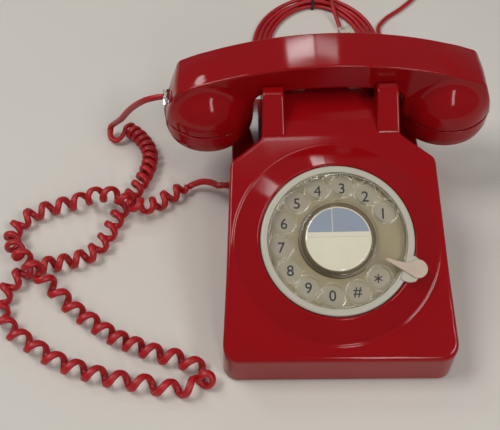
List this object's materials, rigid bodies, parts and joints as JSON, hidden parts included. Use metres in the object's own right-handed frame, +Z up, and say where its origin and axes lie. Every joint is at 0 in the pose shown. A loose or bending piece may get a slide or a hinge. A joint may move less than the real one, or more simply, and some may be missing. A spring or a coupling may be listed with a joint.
{
  "type": "corded desk telephone",
  "caption": "Wedge-shaped desk telephone with a rotary dial on its sloping face, a handset across its cradle, a curly handset cord and a coiled line cord.",
  "frame": {"origin": "centre of the telephone on the table, without its cords", "axes": "+Z up, front towards -Y, +X to the right seen from the front"},
  "size_m": [0.3686, 0.4782, 0.1277],
  "materials": {
    "shell": "glossy deep red moulding",
    "cord": "satin red cord jacket",
    "cream": "satin cream",
    "clear": "clear moulded plastic",
    "label": "paper label",
    "steel": "zinc plated",
    "stop": "satin, warm tint",
    "brass": "turned",
    "gong": "plated gong",
    "black": "black",
    "foot": "black rubber",
    "base": "dark painted sheet",
    "board": "circuit board",
    "capacitor": "sleeved can",
    "coil": "lacquered winding",
    "guide": "moulded nylon"
  },
  "bodies": {
    "base": {"case_shell": "shell", "base_plate": "base", "foot_front_left": "foot", "foot_front_right": "foot", "foot_rear_left": "foot", "foot_rear_right": "foot", "case_screw_fl": "steel", "case_screw_fr": "steel", "case_screw_rl": "steel", "case_screw_rr": "steel", "ballast_plate": "steel", "main_board": "board", "board_capacitor": "capacitor", "terminal_block": "cream", "ringer_bracket": "steel", "ringer_coil": "coil", "gong_left": "gong", "gong_right": "gong", "gong_screw_left": "steel", "gong_screw_right": "steel", "hook_guide": "guide", "hook_spring": "steel", "hook_switch": "black", "dial_frame": "steel", "number_plate": "cream", "dial_ring": "cream", "finger_stop": "stop", "works_plate": "steel", "return_spring": "steel", "governor_cup": "steel", "pulse_contacts": "brass", "cord_grommet": "shell", "curly_cord_top": "cord", "curly_cord": "cord", "curly_cord_foot": "cord", "line_gland": "black", "line_cord_start": "cord", "line_cord_hank": "cord", "line_cord_end": "cord", "line_plug": "clear", "twist_tie": "black"},
    "dial_rotor": {"finger_wheel": "clear", "dial_label": "label", "label_ring": "clear", "label_cover": "clear", "main_spindle": "steel", "drive_gear": "brass"},
    "governor": {"governor_pinion": "brass", "governor_rotor": "brass"},
    "handset": {"handset_shell": "shell", "ear_cap": "shell", "mouth_cap": "shell", "receiver_capsule": "steel", "microphone_capsule": "steel", "handset_weight": "steel", "handset_jack": "black", "handset_plug": "clear"},
    "hook": {"hook_bar": "cream"},
    "striker": {"ringer_striker": "steel"}
  },
  "joints": [
    {"name": "dial_turn", "type": "hinge", "parent": "base", "child": "dial_rotor", "pos_m": [0, -0.0382, 0.06248], "axis": [0, 0.3907, -0.9205], "range_deg": [0, 330], "stiffness_Nm_per_rad": 0.002, "springref_deg": -28.65},
    {"name": "governor_spin", "type": "hinge", "parent": "base", "child": "governor", "pos_m": [0, -0.01059, 0.0742], "axis": [0, -0.3907, 0.9205], "range_deg": [0, 1320]},
    {"name": "handset_lift", "type": "slide", "parent": "base", "child": "handset", "axis": [0, 0, 1], "range_m": [0, 0.08]},
    {"name": "hook_rise", "type": "slide", "parent": "base", "child": "hook", "axis": [0, 0, 1], "range_m": [0, 0.005], "deforming": ["hook_spring"]},
    {"name": "striker_swing", "type": "hinge", "parent": "base", "child": "striker", "pos_m": [0, 0.022, 0.0127], "axis": [0, 0, 1], "range_deg": [-4, 4], "stiffness_Nm_per_rad": 0.005}
  ],
  "couplings": [
    {"joint": "governor_spin", "follows": "dial_turn", "ratio": 4},
    {"joint": "hook_rise", "follows": "handset_lift", "ratio": 0.0625}
  ]
}
